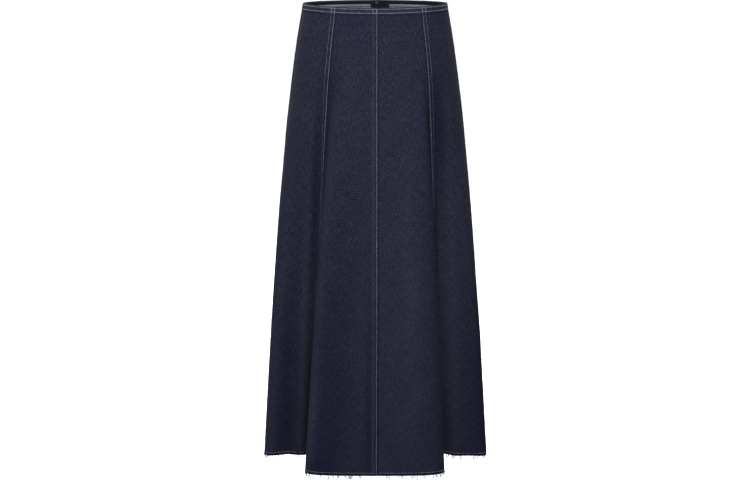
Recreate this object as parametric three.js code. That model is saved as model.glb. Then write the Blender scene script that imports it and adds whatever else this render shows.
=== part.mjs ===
// A long eight-gore denim skirt, hollow as it is worn, with a frayed hem and a buttoned closure at the
// centre back. Millimetres, +Z up, the front towards -Y and the wearer's left towards +X. The origin is
// the middle of the waist opening, half way down the turned-in waist edge, where the wearer holds it up.
import * as THREE from "three";

// Driving sizes
const LENGTH = 932; // waist edge to hem
const CLOTH = 1.2; // thickness of the denim
const LAYER_GAP = 0.3; // between layers of cloth that lie on each other
const SEAM_GAP = 0.3; // between two gores where they are sewn together
const WAIST_TURNING = 13; // height of the doubled waist edge
const WAIST_RISE = 4; // how much higher the waist edge lies at the sides and behind than in front
const RISE_END = 220; // the drop where that rise is used up
const WAIST_TURN = THREE.MathUtils.degToRad(3.3); // the skirt sits turned on the waist, and not at the hem
const GORE_ROWS = 19;
const COLUMNS_PER_STATION = 3;

// Rows of a table as objects, by the names of its columns
function table(columns, rows) {
  return rows.map((row) => Object.fromEntries(columns.map((column, i) => [column, row[i]])));
}

// The level outline of the skirt without its folds: half an ellipse in front and half a one behind
const SECTIONS = table(["at", "drop", "halfWidth", "front", "back"], [
  ["waist", 0, 145, 101, 99],
  ["high hip", 80, 159, 113, 113],
  ["hip", 200, 174.5, 126, 130],
  ["thigh", 365, 190, 139, 144],
  ["knee", 610, 207.5, 156, 160],
  ["hem", LENGTH, 225, 176, 176],
]);

// Stations round the skirt from the centre front to the centre back. The waist and hem angles are
// degrees from the front on the level outline. Below foldTop a station moves towards its place in the
// hem, fast at first where ease is under 1. That place is given for the wearer's left and right, out
// from the centre and then towards the back.
const STATION_COLUMNS = [
  "at", "waist", "hem", "foldTop", "ease", "leftOut", "leftBack", "rightOut", "rightBack",
];
const STATIONS = table(STATION_COLUMNS, [
  ["centre front", -1.5, 0, 200, 1, 7, -176, -7, -176],
  ["front panel", 11, 12, 200, 1, 58, -178, 58, -178],
  ["front panel edge", 21, 22, 170, 0.75, 109, -175, 112, -175],
  ["front fold", 29, 30, 150, 0.5, 142, -156, 144, -156],
  ["fold return", 32.5, 35, 140, 0.6, 140, -92, 141, -92],
  ["front princess seam", 34.6, 38.5, 130, 0.9, 125, -34, 130, -34],
  ["front groove", 41, 44, 130, 1, 126, 40, 128, 38],
  ["side panel ridge", 50, 52, 150, 1, 160, 5, 154, 6],
  ["side panel valley", 61, 63, 200, 1, 188, 4, 180, 18],
  ["side fold", 76, 77, 250, 1, 218, -4, 218, 0],
  ["side seam", 90, 90, 250, 1, 235, 22, 235, 24],
  ["side back", 104, 103, 220, 1, 216, 68, 214, 72],
  ["back groove", 120, 118, 180, 1, 150, 86, 156, 90],
  ["back princess seam", 137, 135, 160, 1, 128, 106, 132, 110],
  ["back fold", 150, 150, 180, 1, 146, 168, 144, 164],
  ["back panel", 165, 165, 200, 1, 76, 188, 78, 186],
  ["centre back", 180, 180, 200, 1, 0, 176, 0, 176],
]);

// The gores from the centre front to the centre back, on each side
const GORES = table(["name", "from", "to"], [
  ["front_gore", "centre front", "front princess seam"],
  ["side_front_gore", "front princess seam", "side seam"],
  ["side_back_gore", "side seam", "back princess seam"],
  ["back_gore", "back princess seam", "centre back"],
]);

// Flat pieces inside the skirt: their reach along the cloth from the centre back, towards the wearer's
// left, their reach down from the waist edge, and how deep they lie behind the cloth's outer face
const FACING = { top: 0.6, bottom: WAIST_TURNING, depth: CLOTH + LAYER_GAP, thick: CLOTH, columns: 64 };
const ZIP_TAPE = { from: -5, to: 23, top: 23.5, bottom: 186, depth: FACING.depth, thick: 1.2, columns: 3 };
const ZIP_SLIDER = { from: 5, to: 13, top: 14, bottom: 23.2, depth: FACING.depth, thick: 2.2, columns: 1 };
const SHIELD_DEPTH = ZIP_SLIDER.depth + ZIP_SLIDER.thick + LAYER_GAP;
const FLY_SHIELD = { from: 0, to: 38, top: 1, bottom: 194, depth: SHIELD_DEPTH, thick: CLOTH, columns: 4 };

const BUTTON = { along: 11, drop: 7.8, radius: 6.5, height: 3.2, gap: 0.35 };
const BUTTON_BACK = { radius: 6, height: 1.6, gap: 0.35 };

// The profile of both caps from the cloth outwards, in shares of the radius and the height
const CAP_PROFILE = table(["out", "up"], [
  [0, 0],
  [0.88, 0],
  [1, 0.3],
  [0.97, 0.72],
  [0.82, 0.92],
  [0.66, 0.8],
  [0.4, 0.94],
  [0, 1],
]);
const CAP_SIDES = 20;

// Loose strands along the frayed edge below each gore, and the narrow strip of weave that carries them
const STRANDS_PER_FRINGE = 24;
const FRINGE = { strip: 2, inset: 0.15, thick: 0.9, strandWidth: 1.3, shortest: 8, longest: 17, splay: 2.5 };

const DENIM = { color: 0x2b2e3e, roughness: 0.9, metalness: 0 };
const THREAD = { color: 0xc6c6c8, roughness: 0.9, metalness: 0 };
const TAPE = { color: 0x1d2130, roughness: 0.85, metalness: 0 };
const METAL = { color: 0x3a3a3d, roughness: 0.35, metalness: 1 };

// A smooth curve through the values of one column of a table, at x
function smoothColumn(rows, across, column, x) {
  const last = rows.length - 1;
  const slope = (i) => (rows[i + 1][column] - rows[i][column]) / (rows[i + 1][across] - rows[i][across]);
  const tangent = (i) => {
    if (i === 0) return slope(0);
    if (i === last) return slope(last - 1);
    const before = rows[i][across] - rows[i - 1][across];
    const after = rows[i + 1][across] - rows[i][across];
    return (slope(i - 1) * after + slope(i) * before) / (before + after);
  };
  let i = 0;
  while (i < last - 1 && x > rows[i + 1][across]) i += 1;
  const span = rows[i + 1][across] - rows[i][across];
  const t = (x - rows[i][across]) / span;
  const rise = rows[i + 1][column] - rows[i][column];
  const smooth = t * t * (3 - 2 * t);
  const leave = t * (1 - t) * (1 - t) * tangent(i);
  const arrive = t * t * (1 - t) * tangent(i + 1);
  return rows[i][column] + rise * smooth + span * (leave - arrive);
}

// A point on the level outline at an angle from the front
function levelOutline(angle, drop) {
  const forward = Math.cos(angle);
  const depth = smoothColumn(SECTIONS, "drop", forward > 0 ? "front" : "back", drop);
  const halfWidth = smoothColumn(SECTIONS, "drop", "halfWidth", drop);
  return new THREE.Vector2(halfWidth * Math.sin(angle), -depth * forward);
}

// All stations once round: down the wearer's left side to the back and up the right side
function roundStations() {
  const station = (row, waist, hem, out, back) => {
    const hemAngle = THREE.MathUtils.degToRad(hem);
    const shift = new THREE.Vector2(out, back).sub(levelOutline(hemAngle, LENGTH));
    return { ...row, waist: THREE.MathUtils.degToRad(waist), hem: hemAngle, shift };
  };
  const left = STATIONS.map((row) => station(row, row.waist, row.hem, row.leftOut, row.leftBack));
  const right = STATIONS.slice(1, -1).map((row) => (
    station(row, 360 - row.waist, 360 - row.hem, -row.rightOut, row.rightBack)
  ));
  return [...left, ...right.reverse()];
}

const ROUND = roundStations();
const PLACES = ROUND.length;

// The point of the cloth's outer face at a place round the skirt, counted in stations, and a drop.
// Angles and folds pass from station to station as a cubic B-spline, so that every fold is rounded.
function clothFace(place, drop) {
  const first = Math.floor(place);
  const f = place - first;
  const weights = [
    (1 - f) ** 3 / 6,
    (3 * f ** 3 - 6 * f ** 2 + 4) / 6,
    (-3 * f ** 3 + 3 * f ** 2 + 3 * f + 1) / 6,
    f ** 3 / 6,
  ];
  const share = drop / LENGTH;
  const shift = new THREE.Vector2();
  let angle = WAIST_TURN * Math.max(0, 1 - share);
  weights.forEach((weight, k) => {
    const index = first - 1 + k;
    const round = Math.floor(index / PLACES);
    const row = ROUND[index - round * PLACES];
    const grown = Math.max(0, (drop - row.foldTop) / (LENGTH - row.foldTop)) ** row.ease;
    angle += weight * (row.waist + (row.hem - row.waist) * share + round * 2 * Math.PI);
    shift.addScaledVector(row.shift, weight * grown);
  });
  const plan = levelOutline(angle, drop).add(shift);
  const rise = WAIST_RISE * (1 - Math.max(0, Math.cos(angle)) ** 2) * Math.max(0, 1 - drop / RISE_END) ** 2;
  return new THREE.Vector3(plan.x, plan.y, WAIST_TURNING / 2 - drop + rise);
}

// The direction out of the cloth at a place
function outward(place, drop) {
  const along = clothFace(place + 0.05, drop).sub(clothFace(place - 0.05, drop));
  const up = clothFace(place, drop - 2).sub(clothFace(place, drop + 2));
  return along.cross(up).normalize();
}

// A point at a depth behind the cloth's outer face
function clothPoint(place, drop, depth) {
  return clothFace(place, drop).addScaledVector(outward(place, drop), -depth);
}

// The place a distance further round the cloth
function placeAlong(start, distance, drop) {
  if (distance === 0) return start;
  const step = 0.02 * Math.sign(distance);
  let place = start;
  let left = Math.abs(distance);
  let here = clothFace(place, drop);
  for (;;) {
    const next = clothFace(place + step, drop);
    const length = here.distanceTo(next);
    if (length >= left) return place + (step * left) / length;
    left -= length;
    place += step;
    here = next;
  }
}

// The length of the cloth between two places
function lengthBetween(from, to, drop) {
  const steps = 80;
  let length = 0;
  let here = clothFace(from, drop);
  for (let i = 1; i <= steps; i += 1) {
    const next = clothFace(from + ((to - from) * i) / steps, drop);
    length += here.distanceTo(next);
    here = next;
  }
  return length;
}

// A closed wall of cloth. faceAt and backAt give the outer and inner point of a column and a row,
// rows run downwards, and spikes names a point for each bottom column that ends in a strand.
function wall(columns, rows, faceAt, backAt, spikes = new Map()) {
  const positions = [];
  const triangles = [];
  const index = (side, column, row) => (side * (rows + 1) + row) * (columns + 1) + column;
  for (const pointAt of [faceAt, backAt]) {
    for (let row = 0; row <= rows; row += 1) {
      for (let column = 0; column <= columns; column += 1) positions.push(...pointAt(column, row).toArray());
    }
  }
  const quad = (a, b, c, d) => triangles.push(a, b, c, a, c, d);
  for (let row = 0; row < rows; row += 1) {
    for (let column = 0; column < columns; column += 1) {
      const corners = [[column, row], [column, row + 1], [column + 1, row + 1], [column + 1, row]];
      quad(...corners.map(([c, r]) => index(0, c, r)));
      quad(...corners.reverse().map(([c, r]) => index(1, c, r)));
    }
    const sides = [[0, row], [1, row], [1, row + 1], [0, row + 1]];
    quad(...sides.map(([side, r]) => index(side, 0, r)));
    quad(...sides.reverse().map(([side, r]) => index(side, columns, r)));
  }
  for (let column = 0; column < columns; column += 1) {
    quad(index(0, column, 0), index(0, column + 1, 0), index(1, column + 1, 0), index(1, column, 0));
    const corners = [[0, column], [1, column], [1, column + 1], [0, column + 1]];
    const bottom = corners.map(([side, c]) => index(side, c, rows));
    if (spikes.has(column)) {
      const tip = positions.length / 3;
      positions.push(...spikes.get(column).toArray());
      bottom.forEach((corner, k) => triangles.push(corner, bottom[(k + 1) % 4], tip));
    } else {
      quad(...bottom);
    }
  }
  const geometry = new THREE.BufferGeometry();
  geometry.setAttribute("position", new THREE.Float32BufferAttribute(positions, 3));
  geometry.setIndex(triangles);
  geometry.computeVertexNormals();
  return geometry;
}

// One gore, with a seam gap's half left free at each side edge
function goreGeometry(from, to) {
  const columns = (to - from) * COLUMNS_PER_STATION;
  const pointAt = (depth) => (column, row) => {
    const drop = (LENGTH * row) / GORE_ROWS;
    const start = placeAlong(from, SEAM_GAP / 2, drop);
    const end = placeAlong(to, -SEAM_GAP / 2, drop);
    return clothPoint(start + ((end - start) * column) / columns, drop, depth);
  };
  return wall(columns, GORE_ROWS, pointAt(0), pointAt(CLOTH));
}

// A flat piece that follows the inside of the cloth between two places
function patchGeometry(from, to, columns, piece) {
  const pointAt = (depth) => (column, row) => {
    const drop = row === 0 ? piece.top : piece.bottom;
    return clothPoint(from + ((to - from) * column) / columns, drop, depth);
  };
  return wall(columns, 1, pointAt(piece.depth), pointAt(piece.depth + piece.thick));
}

// A repeatable number from 0 to 1 for each strand and use
function scatter(strand, use) {
  const value = Math.sin(strand * 12.9898 + use * 78.233) * 43758.5453;
  return value - Math.floor(value);
}

// The frayed edge below one gore: a narrow strip of weave with loose strands hanging from it
function fringeGeometry(from, to, seed) {
  const top = LENGTH + SEAM_GAP;
  const start = placeAlong(from, SEAM_GAP / 2, top);
  const end = placeAlong(to, -SEAM_GAP / 2, top);
  const width = lengthBetween(start, end, top);
  const pitch = width / STRANDS_PER_FRINGE;
  const places = [start];
  const spikes = new Map();
  for (let i = 0; i < STRANDS_PER_FRINGE; i += 1) {
    const middle = pitch * (i + 0.25 + 0.5 * scatter(seed + i, 1));
    places.push(placeAlong(start, middle - FRINGE.strandWidth / 2, top));
    places.push(placeAlong(start, middle + FRINGE.strandWidth / 2, top));
    const length = THREE.MathUtils.lerp(FRINGE.shortest, FRINGE.longest, scatter(seed + i, 2));
    const lean = FRINGE.splay * (2 * scatter(seed + i, 3) - 1);
    const tipPlace = placeAlong(start, Math.max(0.5, middle + lean), top);
    const away = FRINGE.splay * (scatter(seed + i, 4) - 0.5);
    spikes.set(2 * i + 1, clothPoint(tipPlace, top + length, CLOTH / 2 - away));
  }
  places.push(end);
  const pointAt = (depth) => (column, row) => clothPoint(places[column], top + row * FRINGE.strip, depth);
  return wall(places.length - 1, 1, pointAt(FRINGE.inset), pointAt(FRINGE.inset + FRINGE.thick), spikes);
}

// A low round cap with a rim
function capGeometry(radius, height) {
  const profile = CAP_PROFILE.map((row) => new THREE.Vector2(radius * row.out, height * row.up));
  return new THREE.LatheGeometry(profile, CAP_SIDES);
}

const skirt = new THREE.Group();

function addPiece(name, geometry, look) {
  const mesh = new THREE.Mesh(geometry, new THREE.MeshStandardMaterial(look));
  mesh.name = name;
  skirt.add(mesh);
  return mesh;
}

// Gores and their fringes, the wearer's left side first
const stationOf = (name) => STATIONS.findIndex((row) => row.at === name);
GORES.forEach((gore, i) => {
  const from = stationOf(gore.from);
  const to = stationOf(gore.to);
  const sides = [
    { side: "left", from, to, seed: 100 * i + 1 },
    { side: "right", from: PLACES - to, to: PLACES - from, seed: 100 * i + 51 },
  ];
  for (const half of sides) {
    addPiece(`${gore.name}_${half.side}`, goreGeometry(half.from, half.to), DENIM);
    addPiece(`${gore.name}_fringe_${half.side}`, fringeGeometry(half.from, half.to, half.seed), THREAD);
  }
});

// Waist facing, from one edge of the back opening round to the other
const centreBack = stationOf("centre back");
const facingStart = placeAlong(centreBack, SEAM_GAP / 2, 0);
const facingEnd = placeAlong(centreBack, -SEAM_GAP / 2, 0) + PLACES;
addPiece("waist_facing", patchGeometry(facingStart, facingEnd, FACING.columns, FACING), DENIM);

// Closure: the wearer's left lies towards lower places at the centre back
function closureGeometry(piece) {
  const from = placeAlong(centreBack, -piece.to, piece.top);
  const to = placeAlong(centreBack, -piece.from, piece.top);
  return patchGeometry(from, to, piece.columns, piece);
}
addPiece("zip_tape", closureGeometry(ZIP_TAPE), TAPE);
addPiece("zip_slider", closureGeometry(ZIP_SLIDER), METAL);
addPiece("fly_shield", closureGeometry(FLY_SHIELD), DENIM);

// Button outside the lap and its back plate inside the shield, both turned to the cloth
function addCap(name, cap, depth, facing) {
  const place = placeAlong(centreBack, -BUTTON.along, BUTTON.drop);
  const direction = outward(place, BUTTON.drop).multiplyScalar(facing);
  const mesh = addPiece(name, capGeometry(cap.radius, cap.height), METAL);
  mesh.position.copy(clothPoint(place, BUTTON.drop, depth));
  mesh.quaternion.setFromUnitVectors(new THREE.Vector3(0, 1, 0), direction);
}
addCap("waist_button", BUTTON, -BUTTON.gap, 1);
addCap("waist_button_back", BUTTON_BACK, FLY_SHIELD.depth + FLY_SHIELD.thick + BUTTON_BACK.gap, -1);

export default skirt;
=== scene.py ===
"""The looks of a long eight-gore denim skirt, hollow as it is worn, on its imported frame.

Sizes are in millimetres and are turned into metres where a mesh is made. The front faces -Y and the
wearer's left is towards +X. A place is counted in stations round the skirt, from the centre front over
the wearer's left side and the back; a drop runs down from the waist edge."""
import math

import bmesh
import bpy
import numpy as np
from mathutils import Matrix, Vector


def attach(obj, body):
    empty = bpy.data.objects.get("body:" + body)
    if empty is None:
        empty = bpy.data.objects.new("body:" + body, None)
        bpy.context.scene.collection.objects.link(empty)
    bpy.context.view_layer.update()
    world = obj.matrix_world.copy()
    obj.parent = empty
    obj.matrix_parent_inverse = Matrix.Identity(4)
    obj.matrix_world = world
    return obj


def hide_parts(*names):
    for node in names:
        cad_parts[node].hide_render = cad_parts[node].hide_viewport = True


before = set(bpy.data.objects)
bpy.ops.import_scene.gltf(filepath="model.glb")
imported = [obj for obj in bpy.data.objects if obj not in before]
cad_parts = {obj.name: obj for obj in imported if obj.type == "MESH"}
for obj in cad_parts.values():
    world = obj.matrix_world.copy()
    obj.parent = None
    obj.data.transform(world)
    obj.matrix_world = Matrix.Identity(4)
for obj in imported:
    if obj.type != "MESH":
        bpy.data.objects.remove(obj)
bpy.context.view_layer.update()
MM = 0.001

# Sizes shared with the solids
LENGTH = 932.0
CLOTH = 1.2
LAYER_GAP = 0.3
SEAM_GAP = 0.08
WAIST_TURNING = 13.0
WAIST_RISE = 4.0
RISE_END = 220.0
WAIST_TURN = math.radians(3.3)

# The level outline without folds: drop, half width, depth in front, depth behind
SECTIONS = np.array([
    (0, 145, 101, 99),
    (80, 159, 113, 113),
    (200, 174.5, 126, 130),
    (365, 190, 139, 144),
    (610, 207.5, 156, 160),
    (LENGTH, 225, 176, 176),
], float)

# Stations from the centre front to the centre back: angle at the waist and at the hem, drop where the
# fold starts, ease, and the place in the hem for the wearer's left and right, out and towards the back
STATIONS = {
    "centre front": (-1.5, 0, 200, 1, 7, -176, -7, -176),
    "front panel": (11, 12, 200, 1, 58, -178, 58, -178),
    "front panel edge": (21, 22, 170, 0.75, 109, -175, 112, -175),
    "front fold": (29, 30, 150, 0.5, 142, -156, 144, -156),
    "fold return": (32.5, 35, 140, 0.6, 140, -92, 141, -92),
    "front princess seam": (34.6, 38.5, 130, 0.9, 125, -34, 130, -34),
    "front groove": (41, 44, 130, 1, 126, 40, 128, 38),
    "side panel ridge": (50, 52, 150, 1, 160, 5, 154, 6),
    "side panel valley": (61, 63, 200, 1, 188, 4, 180, 18),
    "side fold": (76, 77, 250, 1, 218, -4, 218, 0),
    "side seam": (90, 90, 250, 1, 235, 22, 235, 24),
    "side back": (104, 103, 220, 1, 216, 68, 214, 72),
    "back groove": (120, 118, 180, 1, 150, 86, 156, 90),
    "back princess seam": (137, 135, 160, 1, 128, 106, 132, 110),
    "back fold": (150, 150, 180, 1, 146, 168, 144, 164),
    "back panel": (165, 165, 200, 1, 76, 188, 78, 186),
    "centre back": (180, 180, 200, 1, 0, 176, 0, 176),
}
STATION_NAMES = list(STATIONS)
HALF_ROUND = len(STATIONS) - 1
PLACES = 2 * HALF_ROUND


def station(name, side="left"):
    """The place of a named station on the wearer's left or right."""
    place = STATION_NAMES.index(name)
    return place if side == "left" else PLACES - place


def together(*values):
    """Numbers and arrays as arrays of one shape."""
    return np.broadcast_arrays(*(np.asarray(value, float) for value in values))


def unit(vectors):
    """Vectors of length 1."""
    return vectors / np.linalg.norm(vectors, axis=-1, keepdims=True)


def lengths_along(points):
    """The length along rows of points, from 0 at each row's start."""
    steps = np.linalg.norm(np.diff(points, axis=-2), axis=-1)
    return np.concatenate([np.zeros(steps.shape[:-1] + (1,)), np.cumsum(steps, axis=-1)], axis=-1)


def smooth_column(column, x):
    """A smooth curve through one column of SECTIONS, at the drops x."""
    across = SECTIONS[:, 0]
    values = SECTIONS[:, column]
    step = np.diff(across)
    slope = np.diff(values) / step
    inner = (slope[:-1] * step[1:] + slope[1:] * step[:-1]) / (step[:-1] + step[1:])
    tangent = np.concatenate([slope[:1], inner, slope[-1:]])
    i = np.clip(np.searchsorted(across, x, side="right") - 1, 0, len(step) - 1)
    t = (x - across[i]) / step[i]
    rise = (values[i + 1] - values[i]) * t * t * (3 - 2 * t)
    leave = t * (1 - t) ** 2 * tangent[i]
    arrive = t * t * (1 - t) * tangent[i + 1]
    return values[i] + rise + step[i] * (leave - arrive)


def level_outline(angle, drop):
    """Points on the level outline at angles from the front."""
    forward = np.cos(angle)
    depth = np.where(forward > 0, smooth_column(2, drop), smooth_column(3, drop))
    return np.stack([smooth_column(1, drop) * np.sin(angle), -depth * forward], -1)


def round_stations():
    """Waist angle, hem angle, fold top, ease and shift in the hem of every station once round."""
    rows = [(r[0], r[1], r[2], r[3], r[4], r[5]) for r in STATIONS.values()]
    right = [(360 - r[0], 360 - r[1], r[2], r[3], -r[6], r[7]) for r in STATIONS.values()]
    table = np.array(rows + right[-2:0:-1], float)
    waist, hem = np.radians(table[:, 0]), np.radians(table[:, 1])
    shift = table[:, 4:6] - level_outline(hem, np.full(len(hem), LENGTH))
    return waist, hem, table[:, 2], table[:, 3], shift


ROUND = round_stations()


def cloth_face(place, drop):
    """Points of the cloth's plain outer face, without seams and creases."""
    place, drop = together(place, drop)
    waist, hem, fold_top, ease, shift = ROUND
    first = np.floor(place).astype(int)
    f = place - first
    weights = (
        (1 - f) ** 3 / 6,
        (3 * f ** 3 - 6 * f ** 2 + 4) / 6,
        (-3 * f ** 3 + 3 * f ** 2 + 3 * f + 1) / 6,
        f ** 3 / 6,
    )
    share = drop / LENGTH
    angle = WAIST_TURN * np.maximum(0, 1 - share)
    moved = np.zeros(place.shape + (2,))
    for k, weight in enumerate(weights):
        turns, row = np.divmod(first - 1 + k, PLACES)
        grown = np.maximum(0, (drop - fold_top[row]) / (LENGTH - fold_top[row])) ** ease[row]
        angle = angle + weight * (waist[row] + (hem[row] - waist[row]) * share + turns * 2 * math.pi)
        moved += (weight * grown)[..., None] * shift[row]
    plan = level_outline(angle, drop) + moved
    rise = WAIST_RISE * (1 - np.maximum(0, np.cos(angle)) ** 2) * np.maximum(0, 1 - drop / RISE_END) ** 2
    return np.concatenate([plan, (WAIST_TURNING / 2 - drop + rise)[..., None]], -1)


def outward(place, drop):
    """Directions out of the plain cloth."""
    along = cloth_face(place + 0.05, drop) - cloth_face(place - 0.05, drop)
    up = cloth_face(place, drop - 2) - cloth_face(place, drop + 2)
    return unit(np.cross(along, up))


# Distances round the cloth, kept as a table of lengths from the centre front at even drops and places
ARC_DROPS = np.linspace(-10, LENGTH + 40, 140)
ARC_PLACES = np.linspace(-4, PLACES + 4, 801)
ARC = lengths_along(cloth_face(ARC_PLACES[None, :], ARC_DROPS[:, None]))
ARC -= ARC[:, [int(np.argmin(np.abs(ARC_PLACES)))]]


def arc(place, drop):
    """The length round the cloth from the centre front to a place."""
    place, drop = together(place, drop)
    across = (place - ARC_PLACES[0]) / (ARC_PLACES[1] - ARC_PLACES[0])
    down = (drop - ARC_DROPS[0]) / (ARC_DROPS[1] - ARC_DROPS[0])
    i = np.clip(np.floor(across).astype(int), 0, len(ARC_PLACES) - 2)
    j = np.clip(np.floor(down).astype(int), 0, len(ARC_DROPS) - 2)
    s, t = across - i, down - j
    upper = ARC[j, i] * (1 - s) + ARC[j, i + 1] * s
    lower = ARC[j + 1, i] * (1 - s) + ARC[j + 1, i + 1] * s
    return upper * (1 - t) + lower * t


def arc_from(line, place, drop):
    """How far round the cloth places lie from a line, by the shorter way, negative before it."""
    turns = np.round((place - line) / PLACES)
    return arc(place - turns * PLACES, drop) - arc(line, drop)


def place_at(start, distance, drop):
    """The places that lie a distance further round the cloth than start."""
    start, distance, drop = together(start, distance, drop)
    goal = arc(start, drop) + distance
    place = start + 0.0
    for _ in range(12):
        speed = (arc(place + 0.02, drop) - arc(place - 0.02, drop)) / 0.04
        place = place + np.clip((goal - arc(place, drop)) / speed, -1, 1)
    return place


# Seams: station, side that the allowance lies on (1 towards higher places), top of the stitching
ALLOWANCE = 12.0
STITCH_ROWS = (2.4, 9.9)
ZIP_END = 190.0
SEAMS = {
    "centre_front": (station("centre front"), -1, 0.0),
    "front_princess_left": (station("front princess seam"), 1, 0.0),
    "front_princess_right": (station("front princess seam", "right"), -1, 0.0),
    "side_left": (station("side seam"), 1, 0.0),
    "side_right": (station("side seam", "right"), -1, 0.0),
    "back_princess_left": (station("back princess seam"), -1, 0.0),
    "back_princess_right": (station("back princess seam", "right"), 1, 0.0),
    "centre_back": (station("centre back"), -1, ZIP_END),
}
WAIST_ROWS = (3.0, 10.7)
HEM_ROW = LENGTH - 5.6
LAP_WIDTH = 31.0
LAP_ROWS = (29.0, 23.0)
LAP_STRAIGHT_END = 165.0

# How far seams, rows of stitching and edges stand out of the cloth or sink into it
SEAM_REACH = 60
ALLOWANCE_RISE = 0.85
GATHER_RISE = 0.24
SEAM_GROOVE = 0.75
ROW_GROOVE = 0.34
WAIST_ROW_GROOVE = 0.36
LAP_RISE = 1.1
WAIST_BAND_RISE = 0.5

# Soft creases: place at the top and the bottom, top and bottom drop, width, height
CREASES = (
    (1.9, 2.2, 330, 950, 34, -1.6), (3.0, 2.7, 520, 960, 26, 1.3),
    (-1.6, -1.9, 420, 960, 38, -1.5), (-2.9, -2.6, 610, 960, 24, 1.2),
    (0.8, 1.1, 640, 970, 40, -1.1), (-0.7, -0.9, 250, 620, 46, -0.8),
    (6.9, 7.2, 260, 960, 16, 2.2), (8.4, 8.6, 300, 960, 20, -2.6),
    (9.4, 9.3, 500, 960, 14, 1.5), (26.1, 25.9, 140, 520, 9, -2.2),
    (24.6, 24.1, 230, 930, 17, -3.6), (25.3, 25.1, 300, 960, 12, 2.2),
    (23.1, 23.0, 460, 960, 16, 2.4), (22.4, 22.5, 640, 960, 14, -1.8),
    (11.3, 11.0, 380, 960, 20, -2.6), (20.8, 21.1, 420, 960, 20, -2.4),
    (14.2, 14.0, 300, 940, 28, -2.0), (15.1, 15.2, 560, 960, 26, 1.7),
    (17.6, 17.9, 340, 950, 30, -2.1), (16.8, 16.7, 620, 960, 24, 1.5),
)

# Soft patches that make the colour darker or lighter: painted shade in folds and grooves, painted
# highlights on fold edges and on the upper front, and uneven dye. Place, drop, reach round, reach down,
# strength
PAINTED_LIGHT_AND_DYE = (
    (0.0, 190, 520, 220, 0.2), (30.1, 900, 44, 400, -0.9),
    (29.3, 925, 26, 30, -0.3), (29.25, 600, 11, 280, 0.5),
    (29.2, 820, 12, 110, 0.8), (31.5, 620, 22, 160, 0.25),
    (31.7, 820, 9, 260, -0.85), (31.0, 50, 60, 70, -0.15),
    (25.75, 360, 7, 130, -1.3), (26.3, 270, 8, 110, -0.6),
    (27.3, 270, 8, 120, -0.8), (28.3, 165, 16, 90, -0.45),
    (0.9, 600, 60, 300, 0.42), (1.5, 560, 18, 240, 0.5),
    (25.3, 780, 10, 280, 2.0), (25.0, 900, 10, 120, 0.6),
    (25.85, 800, 7, 55, -0.9), (25.7, 640, 8, 80, 0.8),
    (26.5, 620, 8, 80, -0.9), (24.4, 640, 14, 240, -0.35),
    (23.9, 830, 13, 260, -0.5), (23.3, 480, 14, 200, 0.3),
    (22.7, 800, 14, 400, 0.1), (6.9, 700, 18, 380, 1.0),
    (5.7, 620, 12, 160, 0.4), (6.0, 240, 16, 120, -1.05),
    (6.6, 260, 12, 120, -0.5), (8.4, 430, 30, 240, 0.85),
    (9.2, 400, 14, 160, 0.4), (8.3, 640, 10, 120, -0.25),
    (9.3, 860, 24, 330, -0.6), (3.2, 860, 14, 460, -0.2),
    (22.6, 120, 26, 190, 0.25), (26.4, 110, 22, 130, -0.2),
    (5.0, 130, 30, 140, 0.1), (12.0, 900, 16, 500, -0.5),
    (20.0, 900, 16, 500, -0.5), (17.4, 860, 70, 380, -0.35),
    (14.6, 500, 60, 340, 0.25), (13.2, 250, 34, 200, 0.3),
)

# How much lighter the raised seam allowances are, partly rubbed wear and partly painted highlight; how much
# lighter the waist band is; the painted highlight on the waist edge; the painted shade in the seam hollows
# and under the band; and how much darker the hem edge is
ALLOWANCE_RUB_AND_HIGHLIGHT = 0.25
WAIST_ALLOWANCE_RUB_AND_HIGHLIGHT = 0.9
WAIST_BAND_LIGHTER = 0.6
WAIST_EDGE_HIGHLIGHT = 1.1
SEAM_SHADE = 0.8
BELOW_BAND_SHADE = 0.9
HEM_EDGE_SHADE = 2.6


def step_up(x, start, end):
    """0 before start, 1 after end, smooth between."""
    t = np.clip((x - start) / (end - start), 0, 1)
    return t * t * (3 - 2 * t)


def bump(x, width):
    """A rounded ridge of height 1 at 0."""
    return np.exp(-(x / width) ** 2)


def waves(across, down, length, seed):
    """Uneven waves from -1 to 1 of about that length, from crossed sines."""
    random = np.random.RandomState(seed)
    sines = 7
    height = np.zeros(np.broadcast(across, down).shape)
    for _ in range(sines):
        heading = random.uniform(0, math.pi)
        turn = random.uniform(0, 2 * math.pi)
        reach = length * random.uniform(0.7, 1.5)
        along = across * math.cos(heading) + down * math.sin(heading)
        height += np.sin(2 * math.pi * along / reach + turn)
    return height / sines * 1.6


def seam_distance(name, place, drop):
    """How far places lie from a seam, positive on the side of its allowance."""
    seam, side, _ = SEAMS[name]
    return arc_from(seam, place, drop) * side


def seam_gather(index, distance, drop):
    """The puckers that the stitching draws along one seam, from -1 to 1."""
    return waves(distance * 0.3 + 40 * index, drop, 13, 100 + index)


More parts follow.
